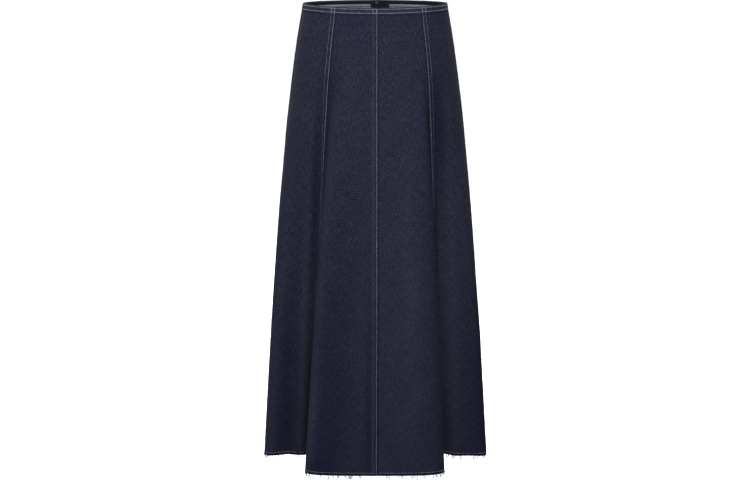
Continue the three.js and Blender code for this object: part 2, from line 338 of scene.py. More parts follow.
def relief(place, drop):
    """How far the cloth stands out from its plain form: seams, rows of stitching, creases, unevenness."""
    place, drop = together(place, drop)
    height = np.zeros(place.shape)
    length_round = arc_from(0, place, drop)
    uneven = 1 - bump(seam_distance("centre_back", place, drop), 40)
    body = step_up(drop, WAIST_TURNING - 1, WAIST_TURNING + 6)
    for index, name in enumerate(SEAMS):
        distance = seam_distance(name, place, drop)
        near = np.abs(distance) < SEAM_REACH
        lapped = SEAMS[name][2] > 0
        closed = step_up(drop, ZIP_END - 6, ZIP_END + 4) if lapped else np.ones(place.shape)
        ridge = step_up(distance, 0.2, 1.4) * (1 - step_up(distance, ALLOWANCE - 0.6, ALLOWANCE + 2.5))
        height += near * closed * ALLOWANCE_RISE * ridge
        height -= near * SEAM_GROOVE * bump(distance, 0.9)
        for row in STITCH_ROWS:
            height -= near * closed * ROW_GROOVE * bump(distance - row, 0.8)
        gather = seam_gather(index, distance, drop)
        height += near * closed * body * GATHER_RISE * gather * bump(distance - ALLOWANCE / 2, 9)
        if lapped:
            turn = np.clip((drop - LAP_STRAIGHT_END) / (ZIP_END - LAP_STRAIGHT_END), 0, 1)
            edge = LAP_WIDTH * np.sqrt(1 - turn ** 2)
            lap = step_up(distance, 0.1, 1.2) * (1 - step_up(distance, edge - 1, edge + 4))
            height += near * LAP_RISE * lap * (drop < ZIP_END)
    band = 1 - step_up(drop, WAIST_TURNING - 0.4, WAIST_TURNING + 1.4)
    height += WAIST_BAND_RISE * band
    for row in WAIST_ROWS:
        height -= WAIST_ROW_GROOVE * bump(drop - row, 0.9)
    height -= ROW_GROOVE * bump(drop - HEM_ROW, 0.8)
    near_hem = step_up(drop, LENGTH - 60, LENGTH)
    at_hem = step_up(drop, LENGTH - 12, LENGTH - 2)
    # where the cloth is uneven, how much, the stretch of its waves downwards, their length and their seed
    for share, tall, stretch, length, seed in (
        (band, 0.16, 0.2, 11, 31),
        (near_hem, 0.5, 0.1, 34, 32),
        (at_hem, 0.18, 0.1, 9, 33),
        (body, 0.42, 0.5, 95, 34),
        (body, 0.16, 0.7, 34, 35),
    ):
        height += tall * uneven * share * waves(length_round, drop * stretch, length, seed)
    for top, bottom, start, end, width, tall in CREASES:
        line = top + (bottom - top) * np.clip((drop - start) / (end - start), 0, 1)
        fade = step_up(drop, start, start + 0.4 * (end - start))
        height += tall * fade * bump(arc_from(line, place, drop), width)
    return height


def painted_light_and_wear(place, drop):
    """How much lighter or darker the cloth's colour is made: soft patches of painted shade, painted
    highlight and uneven dye, seam ridges lighter by rubbed wear and painted highlight, painted shade in
    seam hollows and under the waist band, a painted highlight on the waist edge, a darker hem edge, and
    uneven dye.
    """
    place, drop = together(place, drop)
    tone = np.zeros(place.shape)
    # soft patches of painted shade, painted highlight and uneven dye
    for centre, middle, wide, tall, strength in PAINTED_LIGHT_AND_DYE:
        tone += strength * bump(arc_from(centre, place, drop), wide) * bump(drop - middle, tall)
    length_round = arc_from(0, place, drop)
    at_waist = 1 - step_up(drop, WAIST_TURNING, WAIST_TURNING + 3)
    for index, name in enumerate(SEAMS):
        distance = seam_distance(name, place, drop)
        pucker = 0.5 + 0.5 * seam_gather(index, distance, drop)
        raised = step_up(distance, 0.4, 1.6) * (1 - step_up(distance, ALLOWANCE - 2, ALLOWANCE + 1))
        # the raised allowance is lighter, most on its puckers: partly rubbed wear, partly painted highlight
        tone += ALLOWANCE_RUB_AND_HIGHLIGHT * pucker * raised
        # painted shade in the hollow of the seam
        tone -= SEAM_SHADE * bump(distance + 0.9, 1.3)
        # the bulky allowance at the waist is lighter: partly rubbed wear, partly painted highlight
        tone += WAIST_ALLOWANCE_RUB_AND_HIGHLIGHT * bump(distance - ALLOWANCE / 2, 6) * at_waist
    # the turned waist band is made lighter all round
    tone += WAIST_BAND_LIGHTER * (1 - step_up(drop, WAIST_TURNING - 1, WAIST_TURNING + 1))
    # painted highlight along the rolled waist edge
    tone += WAIST_EDGE_HIGHLIGHT * bump(drop, 2.2)
    # painted shade below the waist band
    tone -= BELOW_BAND_SHADE * bump(drop - WAIST_TURNING - 1.8, 1.8)
    tone -= HEM_EDGE_SHADE * step_up(drop, LENGTH - 5.0, LENGTH - 4.4)
    tone += 0.08 * waves(length_round, drop * 0.6, 60, 71)
    tone += 0.12 * waves(length_round, drop * 0.3, 24, 72)
    return tone


def cloth(place, drop, out=0.0):
    """Points on the finished cloth, moved out of its face by out."""
    return cloth_face(place, drop) + outward(place, drop) * (relief(place, drop) + out)[..., None]


# Materials
def new_material(name):
    """A node material and its Principled shader."""
    material = bpy.data.materials.new(name)
    material.use_nodes = True
    return material, material.node_tree.nodes["Principled BSDF"]


def put(material, socket, value):
    """Links a socket into another one, or sets that to a number, a colour or a vector."""
    if isinstance(value, bpy.types.NodeSocket):
        material.node_tree.links.new(value, socket)
    elif socket.type == "RGBA":
        socket.default_value = (*value, 1)
    else:
        socket.default_value = value


def fill(material, node, **inputs):
    """Sets or links some of a node's inputs by name."""
    for key, value in inputs.items():
        put(material, node.inputs[key.replace("_", " ")], value)


def add_node(material, kind, **inputs):
    """A new shader node with some of its inputs set or linked."""
    node = material.node_tree.nodes.new(kind)
    fill(material, node, **inputs)
    return node


def attribute(material, name):
    """The value of a mesh attribute."""
    node = add_node(material, "ShaderNodeAttribute")
    node.attribute_name = name
    return node.outputs["Fac"]


def own_place(material):
    """A point's place in its own piece, in metres."""
    return add_node(material, "ShaderNodeTexCoord").outputs["Object"]


def roughen(material, shader, height, strength, depth):
    """Bumps of a depth in metres, from a height of 0 to 1."""
    bumps = add_node(material, "ShaderNodeBump", Strength=strength, Distance=depth, Height=height)
    fill(material, shader, Normal=bumps.outputs[0])


def math_node(material, operation, *values):
    """A Math node on sockets or numbers, giving its output."""
    node = add_node(material, "ShaderNodeMath")
    node.operation = operation
    for socket, value in zip(node.inputs, values):
        put(material, socket, value)
    return node.outputs[0]


def total(material, first, *others):
    """The sum of several values."""
    for other in others:
        first = math_node(material, "ADD", first, other)
    return first


def mix_colours(material, share, a, b):
    """A colour mix of two colours or sockets, giving its output."""
    node = add_node(material, "ShaderNodeMix")
    node.data_type = "RGBA"
    for index, value in ((0, share), (6, a), (7, b)):
        put(material, node.inputs[index], value)
    return node.outputs[2]


def stretched(material, vector, scale):
    """A vector scaled along each axis."""
    return add_node(material, "ShaderNodeMapping", Vector=vector, Scale=scale).outputs["Vector"]


def noise(material, vector, scale, detail=2.0, roughness=0.5):
    """A noise texture's value on a vector, with one scale for each axis."""
    vector = stretched(material, vector, scale)
    node = add_node(material, "ShaderNodeTexNoise", Vector=vector, Scale=1.0, Detail=detail,
                    Roughness=roughness)
    return node.outputs["Fac"]


def centred(material, value, strength):
    """A noise value turned into a change round 0."""
    return math_node(material, "MULTIPLY", math_node(material, "SUBTRACT", value, 0.5), strength)


# The twill's ribs, and how the grain of the cloth fades down the skirt, per mm
RIB_PITCH = 0.86
RIB_SLOPE = 0.62
GRAIN_AT_WAIST = 1.15
GRAIN_FADE = -0.00055


def denim_material(name, warp, weft, weft_share, grain):
    """Twill in the cloth's own coordinates: fine diagonal ribs, slubby yarns, uneven dye, and the mesh's
    tone, which holds painted shade and highlights as well as wear and dye.
    """
    material, shader = new_material(name)
    flat = add_node(material, "ShaderNodeUVMap")
    flat.uv_map = "cloth"
    cloth_mm = stretched(material, flat.outputs["UV"], (1 / MM, 1 / MM, 1 / MM))
    across, down, _ = add_node(material, "ShaderNodeSeparateXYZ", Vector=cloth_mm).outputs
    wobble = noise(material, cloth_mm, (0.9, 0.25, 1))
    diagonal = total(material, across, math_node(material, "MULTIPLY", down, RIB_SLOPE))
    phase = total(material, math_node(material, "MULTIPLY", diagonal, 2 * math.pi / RIB_PITCH),
                  math_node(material, "MULTIPLY", wobble, 3.0))
    rib = math_node(material, "MULTIPLY_ADD", math_node(material, "SINE", phase), 0.5, 0.5)
    yarn = noise(material, cloth_mm, (1.2, 0.07, 1), 3, 0.65)
    pick = noise(material, cloth_mm, (0.12, 1.1, 1), 2, 0.6)
    slub = noise(material, cloth_mm, (0.5, 0.1, 1))
    speck = noise(material, cloth_mm, (0.8, 0.42, 1), 4, 0.8)
    patch = noise(material, cloth_mm, (0.018, 0.012, 1), 3, 0.55)
    layers = ((yarn, 7.0), (pick, 2.5), (slub, 3.5), (speck, grain), (rib, 1.5))
    fine = total(material, *(centred(material, layer, strength) for layer, strength in layers))
    fade = math_node(material, "MULTIPLY_ADD", down, GRAIN_FADE, GRAIN_AT_WAIST)
    # the mesh's tone holds painted shade and highlights as well as wear and dye
    tone = total(material, math_node(material, "MULTIPLY", fine, fade), attribute(material, "tone"),
                 centred(material, patch, 0.5))
    share = math_node(material, "MULTIPLY_ADD", tone, weft_share, weft_share)
    colour = mix_colours(material, math_node(material, "MAXIMUM", share, 0.0), warp, weft)
    fill(material, shader, Base_Color=colour, Roughness=0.86, Specular_IOR_Level=0.05)
    heights = ((rib, 0.09), (yarn, 0.16), (speck, 0.22))
    height = total(material, *(math_node(material, "MULTIPLY", layer, tall) for layer, tall in heights))
    roughen(material, shader, height, 0.55, MM)
    return material


def thread_material(name, light, dark):
    """Twisted thread: its own tone from the mesh, with painted shade on some rows, and a fine uneven twist.
    """
    material, shader = new_material(name)
    fuzz = noise(material, own_place(material), (900, 900, 900))
    share = total(material, attribute(material, "tone"), centred(material, fuzz, 0.5))
    share.node.use_clamp = True
    colour = mix_colours(material, share, dark, light)
    fill(material, shader, Base_Color=colour, Roughness=0.75, Specular_IOR_Level=0.3)
    roughen(material, shader, fuzz, 0.5, 0.1 * MM)
    return material


def metal_material(name, colour, roughness):
    """Satin metal with fine scratches and slightly uneven polish."""
    material, shader = new_material(name)
    scratch = noise(material, own_place(material), (300, 2500, 2500), 3)
    rough = total(material, centred(material, scratch, 0.25), roughness)
    tint = mix_colours(material, scratch, colour, tuple(1.35 * c for c in colour))
    fill(material, shader, Base_Color=tint, Roughness=rough, Metallic=1.0)
    roughen(material, shader, scratch, 0.15, 0.1 * MM)
    return material


def tape_material(name, colour):
    """Woven tape with a fine herringbone rib."""
    material, shader = new_material(name)
    place = own_place(material)
    rib = add_node(material, "ShaderNodeTexWave", Vector=place, Scale=420.0, Distortion=1.2)
    fuzz = noise(material, place, (1600, 1600, 1600))
    share = math_node(material, "MULTIPLY", rib.outputs["Fac"], fuzz)
    tint = mix_colours(material, share, colour, tuple(2.2 * c for c in colour))
    fill(material, shader, Base_Color=tint, Roughness=0.8)
    roughen(material, shader, share, 0.4, 0.3 * MM)
    return material


DENIM_FACE = denim_material("denim_face", (0.0054, 0.0068, 0.0185), (0.066, 0.0725, 0.102), 0.135, 19.0)
# The facing and the fly shield are the same denim as the face, given darker colours as painted shade for
# the inside of the skirt
SHADED_DENIM_FACING = denim_material("denim_facing_painted_shade", (0.0042, 0.0058, 0.0115), (0.045, 0.05, 0.066), 0.1, 6.0)
DENIM_BACK = denim_material("denim_wrong_side", (0.06, 0.065, 0.085), (0.265, 0.282, 0.307), 0.5, 0.9)
TOPSTITCH = thread_material("topstitch_thread", (0.36, 0.375, 0.42), (0.065, 0.072, 0.095))
FRAYED = thread_material("frayed_thread", (0.5, 0.5, 0.53), (0.04, 0.045, 0.08))
OVERLOCK = thread_material("inner_thread", (0.05, 0.05, 0.065), (0.02, 0.02, 0.03))
PALE_OVERLOCK = thread_material("overlock_thread", (0.42, 0.43, 0.45), (0.2, 0.2, 0.21))
METAL = metal_material("dark_metal", (0.06, 0.062, 0.07), 0.3)
TAPE = tape_material("zip_tape", (0.012, 0.014, 0.024))


# Meshes
SHARP_ANGLE = math.radians(50)


def new_object(name, data):
    """An object of the scene."""
    made = bpy.data.objects.new(name, data)
    bpy.context.scene.collection.objects.link(made)
    return made


def mesh_piece(name, points, faces, materials, uv=None, face_material=None, tone=None):
    """A piece of the object from points in mm and groups of faces, each an array of corner numbers."""
    groups = [np.asarray(group, np.int32) for group in faces]
    sizes = np.concatenate([np.full(len(group), group.shape[1], np.int32) for group in groups])
    corners = np.concatenate([group.ravel() for group in groups])
    mesh = bpy.data.meshes.new(name)
    mesh.vertices.add(len(points))
    mesh.vertices.foreach_set("co", (np.asarray(points, float) * MM).ravel())
    mesh.loops.add(len(corners))
    mesh.loops.foreach_set("vertex_index", corners)
    mesh.polygons.add(len(sizes))
    mesh.polygons.foreach_set("loop_start", np.concatenate([[0], np.cumsum(sizes)[:-1]]).astype(np.int32))
    for material in materials:
        mesh.materials.append(material)
    if face_material is not None:
        mesh.polygons.foreach_set("material_index", np.asarray(face_material, np.int32))
    mesh.update(calc_edges=True)
    mesh.polygons.foreach_set("use_smooth", np.ones(len(sizes), bool))
    if uv is not None:
        layer = mesh.uv_layers.new(name="cloth")
        layer.data.foreach_set("uv", (np.asarray(uv)[corners] * MM).ravel())
    if tone is not None:
        attribute = mesh.attributes.new("tone", "FLOAT", "POINT")
        attribute.data.foreach_set("value", np.asarray(tone, np.float32))
    mesh.set_sharp_from_angle(angle=SHARP_ANGLE)
    piece = new_object(name, mesh)
    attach(piece, "root")
    return piece


def grid_faces(rows, columns, first=0, flip=False):
    """Quads of a grid whose rows run downwards, seen from outside."""
    r, c = np.meshgrid(np.arange(rows - 1), np.arange(columns - 1), indexing="ij")
    a = first + r * columns + c
    quads = np.stack([a, a + columns, a + columns + 1, a + 1], -1).reshape(-1, 4)
    return quads[:, ::-1] if flip else quads


def shell_piece(name, outer, inner, uv, back_material, tone=None):
    """A closed wall of cloth between two grids of points, with its wrong side inside."""
    rows, columns = outer.shape[:2]
    count = rows * columns
    index = np.arange(count).reshape(rows, columns)
    front = grid_faces(rows, columns)
    back = grid_faces(rows, columns, count, flip=True)
    rims = (
        (index[:, 0] + count, index[:, 0]),
        (index[:, -1], index[:, -1] + count),
        (index[0], index[0] + count),
        (index[-1] + count, index[-1]),
    )
    edges = np.concatenate([np.stack([a[:-1], a[1:], b[1:], b[:-1]], -1) for a, b in rims])
    which = np.concatenate([np.zeros(len(front)), np.ones(len(back)), np.zeros(len(edges))])
    return mesh_piece(
        name, np.concatenate([outer.reshape(-1, 3), inner.reshape(-1, 3)]), [front, back, edges],
        [DENIM_FACE, back_material],
        uv=np.concatenate([uv.reshape(-1, 2)] * 2), face_material=which,
        tone=None if tone is None else np.concatenate([tone.ravel()] * 2),
    )


# Gores: fine columns beside the seams and fine rows at the waist and the hem
SEAM_COLUMNS = np.array([
    0, 0.35, 0.8, 1.3, 1.8, 2.4, 3.0, 3.8, 5.5, 7.5, 9.2, 9.9, 10.6, 12, 13.5, 15.5, 19,
])
FOLD = CLOTH + LAYER_GAP / 2
FOLD_STEPS = 7
ROLL_END = 2.6


def gore_rows():
    """Drop and depth of the outer and the inner point of each row. The top rolls over the waist edge."""
    rows = [(drop, 2 * FOLD, drop, FOLD + LAYER_GAP / 2) for drop in (ROLL_END, 2.0)]
    for step in range(FOLD_STEPS):
        angle = math.pi * step / (FOLD_STEPS - 1)
        inner = LAYER_GAP / 2
        rows.append((
            FOLD * (1 - math.sin(angle)), FOLD * (1 + math.cos(angle)),
            FOLD - inner * math.sin(angle), FOLD + inner * math.cos(angle),
        ))
    drops = [2.2, 3.0, 3.8, 5, 7, 9, 10, 10.7, 11.4, 12.4, 13.2, 14.2, 16, 19, 23]
    drops += list(np.arange(28, LENGTH - 12, 5.5))
    drops += [LENGTH - back for back in (9, 7.6, 6.6, 5.6, 4.6, 3, 1.4, 0)]
    rows += [(drop, 0, drop, CLOTH) for drop in drops]
    return np.array(rows)


GORE_ROWS = gore_rows()


def gore_columns(from_place, to_place, drop, middle):
    """The places of a gore's columns at each drop, and their distance from its first seam."""
    start = arc(from_place, drop) + SEAM_GAP / 2
    end = arc(to_place, drop) - SEAM_GAP / 2
    last = SEAM_COLUMNS[-1]
    inside = last + (end - start - 2 * last)[:, None] * np.linspace(0, 1, middle + 2)[None, 1:-1]
    near = np.broadcast_to(SEAM_COLUMNS, (len(drop), len(SEAM_COLUMNS)))
    far = (end - start)[:, None] - near[:, ::-1]
    distance = np.concatenate([near, inside, far], axis=1)
    place = place_at(from_place, distance + SEAM_GAP / 2, drop[:, None])
    return place, distance


def gore_piece(name, from_place, to_place, middle):
    """One gore as a shell on its solid's form; it gives back the gore, the size it is cut to and its cut
    area.
    """
    outer_drop, outer_depth, inner_drop, inner_depth = GORE_ROWS.T
    place, distance = gore_columns(from_place, to_place, outer_drop, middle)
    drop_grid = np.broadcast_to(outer_drop[:, None], place.shape)
    inner_grid = np.broadcast_to(inner_drop[:, None], place.shape)
    stand = relief(place, drop_grid)
    normal = outward(place, drop_grid)
    outer = cloth_face(place, drop_grid) + normal * (stand - outer_depth[:, None])[..., None]
    inner = cloth_face(place, inner_grid) + normal * (stand - inner_depth[:, None])[..., None]
    width = distance[:, -1]
    path = lengths_along(outer[:, 0])
    uv = np.stack([distance - width[:, None] / 2, np.broadcast_to(path[:, None], place.shape)], -1)
    # the tone holds painted shade and highlights besides wear and dye
    piece = shell_piece(f"{name}_cloth", outer, inner, uv, DENIM_BACK, painted_light_and_wear(place, drop_grid))
    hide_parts(name)
    cut_area = float(np.sum((width[1:] + width[:-1]) / 2 * np.diff(path))) * MM * MM
    return piece, (float(width.max()) * MM, float(path[-1]) * MM), cut_area


GORES = {
    "front_gore": ("centre front", "front princess seam", 44),
    "side_front_gore": ("front princess seam", "side seam", 32),
    "side_back_gore": ("side seam", "back princess seam", 24),
    "back_gore": ("back princess seam", "centre back", 32),
}
gore_spans = {}
for gore_name, (first_seam, second_seam, middle_columns) in GORES.items():
    for side in ("left", "right"):
        ends = sorted((station(first_seam, side), station(second_seam, side)))
        gore_spans[f"{gore_name}_{side}"] = ends
        gore_piece(f"{gore_name}_{side}", *ends, middle_columns)


# Pieces that lie inside the cloth: facing, shield, seam allowances
def lining_piece(name, place, drop, depth):
    """A flat strip that follows the inside of the cloth, from a grid of places and drops."""
    outer = cloth(place, drop, -depth)
    inner = cloth(place, drop, -depth - CLOTH)
    uv = np.stack([lengths_along(outer), drop], -1)
    # the darker facing denim is painted shade
    piece = shell_piece(f"{name}_cloth", outer, inner, uv, SHADED_DENIM_FACING, np.zeros(drop.shape))
    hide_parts(name)
    return piece


CENTRE_BACK = station("centre back")
FACING_TOP = ROLL_END + LAYER_GAP
FACING_COLUMNS = 420
facing_drops = np.array([FACING_TOP, 3.2, 4.5, 6, 8, 9.8, 10.7, 11.6, 12.6, WAIST_TURNING])
facing_place = np.linspace(
    float(place_at(CENTRE_BACK, SEAM_GAP / 2, 0)), float(place_at(CENTRE_BACK, -SEAM_GAP / 2, 0)) + PLACES,
    FACING_COLUMNS,
)
facing_place, facing_drop = np.broadcast_arrays(facing_place[None, :], facing_drops[:, None])
facing = lining_piece("waist_facing", facing_place, facing_drop, CLOTH + LAYER_GAP)
ROUND_WAIST = float(arc(PLACES, 0))

ZIP_THICKNESS = 2.2
SHIELD_DEPTH = CLOTH + LAYER_GAP + ZIP_THICKNESS + LAYER_GAP
SHIELD_WIDTH = 38.0
shield_across = np.concatenate([[0, 0.4, 1.2], np.linspace(3, SHIELD_WIDTH - 3, 16),
                                [SHIELD_WIDTH - 1.2, SHIELD_WIDTH - 0.4, SHIELD_WIDTH]])
shield_drops = np.concatenate([[1, 1.5, 2.5], np.linspace(5, 190, 50), [192.5, 193.6, 194]])
shield_drop, shield_distance = np.meshgrid(shield_drops, shield_across[::-1], indexing="ij")
shield_place = place_at(CENTRE_BACK, -shield_distance, shield_drop)
shield = lining_piece("fly_shield", shield_place, shield_drop, SHIELD_DEPTH)


# Stitching. A kind with painted shade loses some tone between two lengths along its row, in mm, where the
# row runs down into shade
STITCH = {"length": 2.8, "pitch": 3.3, "radius": 0.33, "tone": 0.7}
# rows that run down into a fold's shade get painted shade along them
SHADE_DIMMED_STITCH = {**STITCH, "tone": 0.62, "painted_shade": (0.35, 260, 440)}
FAINTER_STITCH = {**STITCH, "length": 2.6, "radius": 0.29, "tone": 0.4, "painted_shade": (0.38, 90, 190)}
FAINT_STITCH = {**STITCH, "length": 2.6, "radius": 0.25, "tone": 0.1}
WAIST_STITCH = {**STITCH, "length": 2.9, "radius": 0.44, "tone": 0.58}
HEM_STITCH = {**STITCH, "radius": 0.34, "tone": 0.42}
SEAM_STITCHES = {
    "centre_front": ({**STITCH, "painted_shade": (0.3, 450, 750)}, FAINT_STITCH),
    "front_princess_left": (SHADE_DIMMED_STITCH, FAINTER_STITCH),
    "front_princess_right": (SHADE_DIMMED_STITCH, FAINTER_STITCH),
}
STITCH_SEED = 500
PATH_STEP = 1.6


def stitch_line(points, normals, seed, stitch):
    """Vertices, faces and tones of a row of stitches lying along a path on the cloth."""
    random = np.random.RandomState(seed)
    lengths = lengths_along(points)
    start = np.arange(stitch["pitch"] / 2, lengths[-1] - stitch["pitch"], stitch["pitch"])
    count = len(start)
    long = stitch["length"] * random.uniform(0.9, 1.04, count)
    shares = np.array([0.0, 0.14, 0.5, 0.86, 1.0])
    sunk = np.array([-0.3, 0.16, 0.3, 0.16, -0.3])
    girth = np.array([0.55, 1.0, 1.0, 1.0, 0.55]) * stitch["radius"]
    reach = start[:, None] + long[:, None] * shares
    centre = np.stack([np.interp(reach, lengths, points[:, k]) for k in range(3)], -1)
    up = np.stack([np.interp(start, lengths, normals[:, k]) for k in range(3)], -1)
    direction = unit(centre[:, -1] - centre[:, 0])[:, None]
    side_way = unit(np.cross(up[:, None], direction))
    up = np.cross(direction, side_way)
    drift = random.uniform(-0.12, 0.12, (count, 1, 1))
    centre = centre + up * sunk[None, :, None] + side_way * drift
    sides = 5
    vertices = tubes(centre, side_way, up, girth, sides, 0.85)
    shade_loss, from_length, to_length = stitch.get("painted_shade", (0, 0, 1))
    # painted shade: the stitches lose tone further down the row
    tones = random.normal(stitch["tone"], 0.12, count) - shade_loss * step_up(start, from_length, to_length)
    tones = np.repeat(np.clip(tones, 0.1, 1), sides * len(shares))
    return vertices, tube_faces(count, len(shares), sides), tones


def tubes(paths, side_way, up, girth, sides, rise=1.0):
    """Points of rings round paths, from the radius at each ring and the share of it that they rise."""
    angles = (np.arange(sides) * 2 * math.pi / sides)[:, None]
    ring = np.cos(angles) * side_way[:, :, None] + rise * np.sin(angles) * up[:, :, None]
    return (paths[:, :, None] + np.asarray(girth)[..., None, None] * ring).reshape(-1, 3)


def tube_faces(count, rings, sides):
    """Quads of as many tubes, each of that many rings and sides."""
    one = []
    for level in range(rings - 1):
        for k in range(sides):
            a, b = level * sides + k, level * sides + (k + 1) % sides
            one.append((a, b, b + sides, a + sides))
    return (np.arange(count)[:, None, None] * rings * sides + np.array(one)[None]).reshape(-1, 4)


def thread_piece(name, parts, material):
    """One mesh of several parts, each given as points, one or more groups of faces, and tones."""
    points, *groups, tones = zip(*parts)
    firsts = np.concatenate([[0], np.cumsum([len(part) for part in points])])
    faces = [np.concatenate([part + first for part, first in zip(group, firsts)]) for group in groups]
    return mesh_piece(name, np.concatenate(points), faces, [material],
                      tone=np.concatenate(tones))


def stitched_piece(name, lines, material, kinds=(STITCH,)):
    """One mesh of several rows of stitches, each given as points and normals."""
    rows = [stitch_line(points, normals, STITCH_SEED + k, kinds[k % len(kinds)])
            for k, (points, normals) in enumerate(lines)]
    thread_piece(name, rows, material)


def row_beside_seam(name, distance, top, bottom):
    """A line down the cloth at a distance from a seam, on the side of its allowance."""
    seam, side, _ = SEAMS[name]
    drop = np.arange(top, bottom, PATH_STEP)
    place = place_at(seam, side * distance, drop)
    return cloth(place, drop), outward(place, drop)


def row_round(drop, start, end, depth=0.0, flip=1):
    """A line round the cloth at a drop, between two places."""
    place = np.linspace(start, end, int(float(arc(end, drop) - arc(start, drop)) / PATH_STEP))
    drops = np.full(place.shape, float(drop))
    return cloth(place, drops, -depth), flip * outward(place, drops)


BACKTACK = 14.0
BACKTACK_ASIDE = 0.55
for seam_name, (_, _, seam_top) in SEAMS.items():
    row_top = max(seam_top, 0.8)
    seam_lines = [row_beside_seam(seam_name, row, row_top, LENGTH - 1.5) for row in STITCH_ROWS]
    seam_lines += [row_beside_seam(seam_name, row + BACKTACK_ASIDE, row_top, row_top + BACKTACK)
                   for row in STITCH_ROWS]
    seam_kinds = (*SEAM_STITCHES.get(seam_name, (STITCH, FAINT_STITCH)), STITCH, STITCH)
    stitched_piece(f"topstitch_{seam_name}", seam_lines, TOPSTITCH, kinds=seam_kinds)

round_start = float(place_at(CENTRE_BACK, 1.5, 5))
round_end = float(place_at(CENTRE_BACK, -1.5, 5)) + PLACES
waist_lines = [row_round(row, round_start, round_end) for row in WAIST_ROWS]
stitched_piece("topstitch_waist", waist_lines, TOPSTITCH, kinds=(WAIST_STITCH,))
stitched_piece("topstitch_hem", [row_round(HEM_ROW, 0.0, float(PLACES))], TOPSTITCH, kinds=(HEM_STITCH,))


def lap_line(distance):
    """The row that holds the lap of the closure: down beside it and round to the centre back."""
    down = np.arange(WAIST_TURNING + 0.6, LAP_STRAIGHT_END, PATH_STEP)
    turn = np.linspace(0, math.pi / 2, 40)
    reach = ZIP_END - 4 - LAP_STRAIGHT_END + (distance - LAP_ROWS[1])
    drop = np.concatenate([down, LAP_STRAIGHT_END + reach * np.sin(turn)])
    across = np.concatenate([np.full(down.shape, distance), 1 + (distance - 1) * np.cos(turn)])
    place = place_at(CENTRE_BACK, -across, drop)
    return cloth(place, drop), outward(place, drop)


stitched_piece("topstitch_lap", [lap_line(distance) for distance in LAP_ROWS], TOPSTITCH)
shield_edges = []
for across_shield in (3.0, SHIELD_WIDTH - 4):
    edge_drop = np.arange(3.0, ZIP_END, PATH_STEP)
    edge_place = place_at(CENTRE_BACK, -across_shield, edge_drop)
    edge_points = cloth(edge_place, edge_drop, -SHIELD_DEPTH - CLOTH)
    shield_edges.append((edge_points, -outward(edge_place, edge_drop)))
stitched_piece("stitch_fly_shield", shield_edges, OVERLOCK)
inner_rows = [row_round(row, round_start, round_end, 2 * CLOTH + LAYER_GAP, -1) for row in WAIST_ROWS[1:]]
stitched_piece("stitch_waist_inside", inner_rows, OVERLOCK)


def overlock_piece(name, upper, lower, pitch):
    """Slanted thread bars over the raw edge of the turned waist, side by side all round inside."""
    count = int(ROUND_WAIST / pitch)
    steps, sides = 5, 4
    share = np.linspace(0, 1, steps)[None]
    start = np.linspace(round_start, round_end, count)[:, None]
    drop = lower + (upper - lower) * share + 0.25 * np.sin(np.arange(count) * 1.7)[:, None]
    place = start + 0.045 * share
    lift = np.array([0.1, 0.5, 0.55, 0.5, 0.1])[None]
    normal = -outward(place, drop)
    path = cloth(place, drop, -2 * CLOTH - LAYER_GAP) + normal * lift[..., None]
    side_way = np.cross(normal, unit(np.gradient(path, axis=1)))
    points = tubes(path, side_way, normal, 0.42 * pitch, sides, 0.6)
    tones = np.repeat(0.5 + 0.2 * np.sin(np.arange(count) * 2.3), steps * sides)
    thread_piece(name, [(points, tube_faces(count, steps, sides), tones)], PALE_OVERLOCK)


overlock_piece("overlock_waist", 8.4, WAIST_TURNING - 0.2, 1.1)


# Seam allowances inside, pressed to the side that the topstitching holds
ALLOWANCE_THICKNESS = 1.0
for seam_name, (seam_place, seam_side, seam_top) in SEAMS.items():
    allowance_top = max(seam_top + 6, WAIST_TURNING + 1)
    allowance_drop = np.concatenate([
        np.arange(allowance_top, LENGTH - 9, 7.0), [LENGTH - 8, LENGTH - 3, LENGTH - 2],
    ])
    reach = np.array([-2.2, 0.6, 1.2, 3, 6, 9, 11, ALLOWANCE])
    reach = seam_side * reach if seam_side > 0 else seam_side * reach[::-1]
    drop_grid, reach_grid = np.meshgrid(allowance_drop, reach, indexing="ij")
    ripple = 0.105 * waves(reach_grid * 0.2, drop_grid, 16, 60 + int(seam_place))
    strip_place = place_at(seam_place, reach_grid, drop_grid)
    strip_outer = cloth(strip_place, drop_grid, -CLOTH - 0.75 + ripple)
    strip_inner = strip_outer - outward(strip_place, drop_grid) * ALLOWANCE_THICKNESS
    strip_uv = np.stack([reach_grid, drop_grid], -1)
    shell_piece(
        f"allowance_{seam_name}", strip_outer, strip_inner, strip_uv, DENIM_BACK
    )

# Button outside the lap, its back plate inside the shield, and the buttonhole
BUTTON_ALONG = 11.0
BUTTON_DROP = 7.8
button_place = place_at(CENTRE_BACK, -BUTTON_ALONG, BUTTON_DROP)


def turned_piece(name, profile, depth, facing_out):
    """A round piece at the button, turned about the direction out of the cloth, from radius and height."""
    place, drop, sides = button_place, BUTTON_DROP, 56
    out = outward(place, drop)
    normal = out * facing_out
    centre = cloth_face(place, drop) - out * depth
    side_way = unit(np.cross(normal, [0, 0, 1.0]))
    up = np.cross(normal, side_way)
    angle = np.arange(sides) * 2 * math.pi / sides
    ring = np.cos(angle)[:, None] * side_way + np.sin(angle)[:, None] * up
    rims = [centre + normal * height + ring * radius for radius, height in profile[1:-1]]
    points = np.concatenate([[centre + normal * profile[0][1]], *rims, [centre + normal * profile[-1][1]]])
    quads = tube_faces(1, len(rims), sides) + 1
    around = np.arange(sides)
    ahead = (around + 1) % sides
    last = 1 + (len(rims) - 1) * sides
    start_cap = np.stack([np.zeros(sides, int), 1 + ahead, 1 + around], -1)
    end_cap = np.stack([last + around, last + ahead, np.full(sides, len(points) - 1)], -1)
    piece = mesh_piece(f"{name}_metal", points, [quads, start_cap, end_cap], [METAL])
    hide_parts(name)


